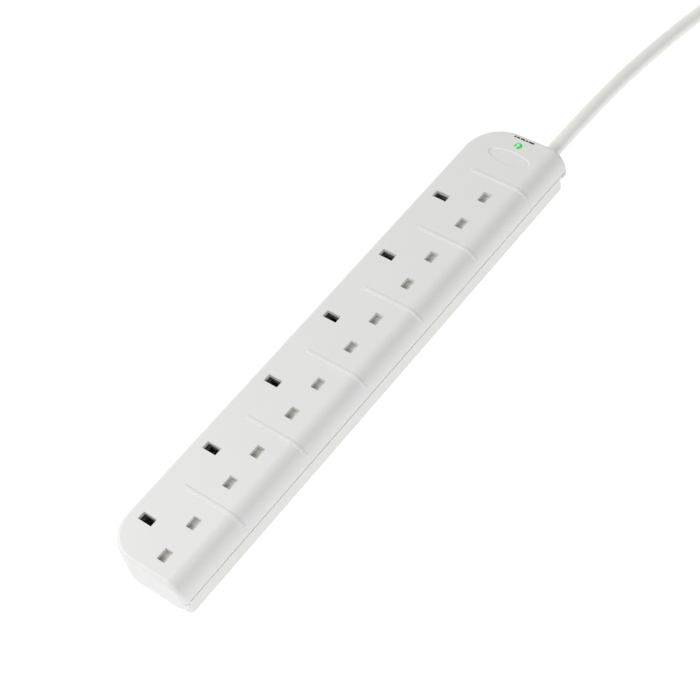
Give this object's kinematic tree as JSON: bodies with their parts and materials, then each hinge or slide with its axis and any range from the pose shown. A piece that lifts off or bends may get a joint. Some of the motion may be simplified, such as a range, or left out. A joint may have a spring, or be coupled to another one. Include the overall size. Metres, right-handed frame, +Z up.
{
  "type": "power strip",
  "caption": "Long low mains socket strip with shuttered three-pin sockets in a row, a lit indicator lamp, and a flexible cord that ends in a fused plug.",
  "frame": {"origin": "under the middle of the housing, on the surface the feet stand on", "axes": "+X along the row of sockets to the cord end, +Y to the side with the earth holes, +Z up"},
  "size_m": [0.868, 0.0677, 0.0427],
  "materials": {
    "cover_plastic": "satin cool white",
    "base_plastic": "satin warm white",
    "frame_plastic": "grey",
    "shutter_plastic": "grey beige",
    "spring_steel": "drawn wire",
    "screw_steel": "zinc plated",
    "contact_brass": "stamped strip",
    "pin_brass": "polished",
    "foot_rubber": "matt",
    "grommet_rubber": "matt",
    "label_film": "printed film, left blank",
    "core_brown": "extruded",
    "core_blue": "extruded",
    "core_green_yellow": "extruded",
    "lens_green": "clear green",
    "diode_green": "diffused",
    "board_laminate": "solder mask",
    "varistor_blue": "epoxy dip",
    "fuse_can": "tinned can",
    "capacitor_case": "moulded",
    "cord_sheath": "satin off-white",
    "tie_plastic": "satin",
    "plug_plastic": "satin white",
    "sleeve_plastic": "matt black",
    "carrier_plastic": "satin",
    "fuse_ceramic": "glazed tube, metal caps"
  },
  "bodies": {
    "housing": {"base_tray": "base_plastic", "case_screws": "screw_steel", "clamp_screws": "screw_steel", "cord_clamp": "frame_plastic", "cord_grommet": "grommet_rubber", "cord_hank": "cord_sheath", "cord_tail": "cord_sheath", "earth_busbar": "contact_brass", "earth_core": "core_green_yellow", "filter_capacitor": "capacitor_case", "flex_cord": "cord_sheath", "hank_ties": "tie_plastic", "lamp_diode": "diode_green", "lamp_lens": "lens_green", "live_busbar": "contact_brass", "live_core": "core_brown", "neutral_busbar": "contact_brass", "neutral_core": "core_blue", "plug_body": "plug_plastic", "plug_earth_pin": "pin_brass", "plug_live_pin": "pin_brass", "plug_neutral_pin": "pin_brass", "plug_pin_sleeves": "sleeve_plastic", "plug_strain_relief": "cord_sheath", "rating_label": "label_film", "rubber_feet": "foot_rubber", "shutter_frame_1": "frame_plastic", "shutter_frame_2": "frame_plastic", "shutter_frame_3": "frame_plastic", "shutter_frame_4": "frame_plastic", "shutter_frame_5": "frame_plastic", "shutter_frame_6": "frame_plastic", "shutter_spring_1": "spring_steel", "shutter_spring_2": "spring_steel", "shutter_spring_3": "spring_steel", "shutter_spring_4": "spring_steel", "shutter_spring_5": "spring_steel", "shutter_spring_6": "spring_steel", "surge_board": "board_laminate", "thermal_fuse": "fuse_can", "top_cover": "cover_plastic", "varistors": "varistor_blue"},
    "shutter_1": {"shutter_1": "shutter_plastic"},
    "shutter_2": {"shutter_2": "shutter_plastic"},
    "shutter_3": {"shutter_3": "shutter_plastic"},
    "shutter_4": {"shutter_4": "shutter_plastic"},
    "shutter_5": {"shutter_5": "shutter_plastic"},
    "shutter_6": {"shutter_6": "shutter_plastic"},
    "fuse_tray": {"plug_fuse_carrier": "carrier_plastic", "plug_fuse": "fuse_ceramic"}
  },
  "joints": [
    {"name": "shutter_1_slide", "type": "slide", "parent": "housing", "child": "shutter_1", "axis": [0, -1, 0], "range_m": [0, 0.0064], "stiffness_N_per_m": 120, "springref_m": -0.004, "deforming": ["shutter_spring_1"]},
    {"name": "shutter_2_slide", "type": "slide", "parent": "housing", "child": "shutter_2", "axis": [0, -1, 0], "range_m": [0, 0.0064], "stiffness_N_per_m": 120, "springref_m": -0.004, "deforming": ["shutter_spring_2"]},
    {"name": "shutter_3_slide", "type": "slide", "parent": "housing", "child": "shutter_3", "axis": [0, -1, 0], "range_m": [0, 0.0064], "stiffness_N_per_m": 120, "springref_m": -0.004, "deforming": ["shutter_spring_3"]},
    {"name": "shutter_4_slide", "type": "slide", "parent": "housing", "child": "shutter_4", "axis": [0, -1, 0], "range_m": [0, 0.0064], "stiffness_N_per_m": 120, "springref_m": -0.004, "deforming": ["shutter_spring_4"]},
    {"name": "shutter_5_slide", "type": "slide", "parent": "housing", "child": "shutter_5", "axis": [0, -1, 0], "range_m": [0, 0.0064], "stiffness_N_per_m": 120, "springref_m": -0.004, "deforming": ["shutter_spring_5"]},
    {"name": "shutter_6_slide", "type": "slide", "parent": "housing", "child": "shutter_6", "axis": [0, -1, 0], "range_m": [0, 0.0064], "stiffness_N_per_m": 120, "springref_m": -0.004, "deforming": ["shutter_spring_6"]},
    {"name": "fuse_tray_slide", "type": "slide", "parent": "housing", "child": "fuse_tray", "axis": [0, 0, 1], "range_m": [0, 0.012]}
  ]
}
